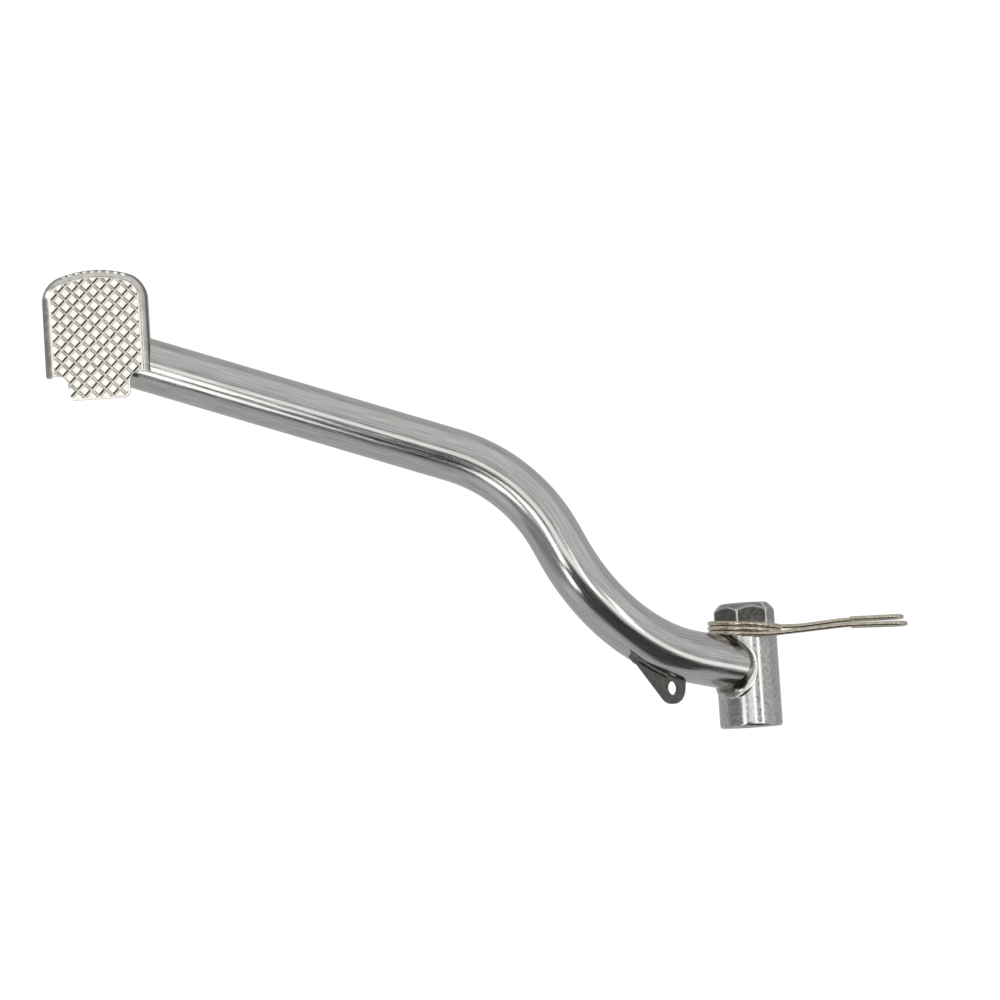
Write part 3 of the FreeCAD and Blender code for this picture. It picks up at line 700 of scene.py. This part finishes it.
# brightness of the surround from one side (inwards, low) over the top to the other (outwards),
# with a dim fill from the front that the middle run and the hub's front side pick up
surround = {
    "across": (0.42, 0.9, 0.0),
    "levels": [(0.0, 0.6), (0.06, 0.5), (0.1, 0.08), (0.4, 0.05), (0.45, 0.25), (0.485, 1.5), (0.57, 1.5),
               (0.6, 0.38), (0.68, 0.68), (0.8, 0.76), (1.0, 0.8)],
    "fillWay": (-0.95, -0.1, 0.3), "fillFrom": 0.62, "fillTo": 0.82, "fill": 0.26,
    # the levels are stored as shares of this strength, which keeps them under 1
    "strength": 2.0,
}


def makeSurround():
    world = bpy.data.worlds.new("softStudio")
    bpy.context.scene.world = world
    world.use_nodes = True
    tree = world.node_tree
    tree.nodes.clear()
    strength = surround["strength"]
    where = addNode(tree, "ShaderNodeTexCoord")
    across = addNode(tree, "ShaderNodeVectorMath", {"operation": "DOT_PRODUCT"}, {1: surround["across"]},
                     [(0, where, "Generated")])
    place = addNode(tree, "ShaderNodeMapRange", inputs={"From Min": -1.0, "From Max": 1.0},
                    links=[("Value", across, "Value")])
    ramp = addNode(tree, "ShaderNodeValToRGB", links=[("Fac", place, "Result")])
    setStops(ramp, [(position, grey(level / strength)) for position, level in surround["levels"]])
    front = addNode(tree, "ShaderNodeVectorMath", {"operation": "DOT_PRODUCT"}, {1: surround["fillWay"]},
                    [(0, where, "Generated")])
    fill = addNode(tree, "ShaderNodeMapRange",
                   inputs={"From Min": surround["fillFrom"], "From Max": surround["fillTo"],
                           "To Max": surround["fill"] / strength},
                   links=[("Value", front, "Value")])
    total = addNode(tree, "ShaderNodeVectorMath", {"operation": "ADD"},
                    links=[(0, ramp, "Color"), (1, fill, "Result")])
    back = addNode(tree, "ShaderNodeBackground", inputs={"Strength": strength},
                   links=[("Color", total, "Vector")])
    output = tree.nodes.new("ShaderNodeOutputWorld")
    tree.links.new(back.outputs["Background"], output.inputs["Surface"])


makeSurround()

# grey card low under the pedal, kept from the camera, so that the metal's edges read against the white
lowCard = {"size": 3.96, "grey": 0.56, "above": 4 * mm}


def makeLowCard():
    material, tree, output = newMaterial("greyCard")
    glow = addNode(tree, "ShaderNodeEmission", inputs={"Color": grey(lowCard["grey"]), "Strength": 1.0})
    tree.links.new(glow.outputs["Emission"], output.inputs["Surface"])
    card = levelSheet("lowCard", lowCard["size"], floorHeight + lowCard["above"], material)
    card.visible_camera = False
    card.visible_shadow = False
    card.visible_diffuse = False


makeLowCard()

camera = {
    "lens": 150.0, "sensor": 36.0, "farClip": 20.0, "elevation": 85.5, "roll": 3.69,
    "target": (-90.6 * mm, 88.75 * mm, 20 * mm), "distance": 1.5828,
}


def placeByAxes(thing, right, up, back, distance):
    # sets a camera or lamp so far back from the target, looking at it
    matrix = np.eye(4)
    matrix[:3] = np.stack([right, up, back, np.array(camera["target"]) + back * distance], -1)
    thing.matrix_world = Matrix(matrix.tolist())


def makeCamera():
    tilt = math.radians(90 - camera["elevation"])
    roll = math.radians(camera["roll"])
    right = np.array([1.0, 0.0, 0.0])
    up = np.array([0.0, math.cos(tilt), math.sin(tilt)])
    back = np.cross(right, up)
    turnedRight = right * math.cos(roll) - up * math.sin(roll)
    turnedUp = right * math.sin(roll) + up * math.cos(roll)
    data = bpy.data.cameras.new("camera")
    data.lens = camera["lens"]
    data.sensor_width = camera["sensor"]
    data.clip_end = camera["farClip"]
    eye = bpy.data.objects.new("camera", data)
    bpy.context.scene.collection.objects.link(eye)
    placeByAxes(eye, turnedRight, turnedUp, back, camera["distance"])
    bpy.context.scene.camera = eye


makeCamera()

# soft boxes: two over the front for the bends, a narrow one that streaks the hub, a low one to the rear
softBoxDistance = 1.0
softBoxes = [
    {"way": (-0.36, -0.16, 0.92), "size": (0.26, 0.26), "power": 0.5},
    {"way": (-0.46, -0.48, 0.74), "size": (0.24, 0.24), "power": 0.42},
    {"way": (0.36, 0.0, 0.93), "size": (0.07, 0.4), "power": 0.22},
    {"way": (0.72, -0.12, 0.68), "size": (0.16, 0.3), "power": 0.3},
]


def makeSoftBox(settings):
    data = bpy.data.lights.new("softBox", "AREA")
    data.shape = "RECTANGLE"
    data.size, data.size_y = settings["size"]
    data.energy = settings["power"]
    lamp = bpy.data.objects.new("softBox", data)
    bpy.context.scene.collection.objects.link(lamp)
    back = unit(settings["way"])
    up = unit(outAxis - back * (back @ outAxis))
    placeByAxes(lamp, np.cross(up, back), up, back, softBoxDistance)


for settings in softBoxes:
    makeSoftBox(settings)
bpy.context.scene.view_settings.view_transform = "Standard"
print("stage set")
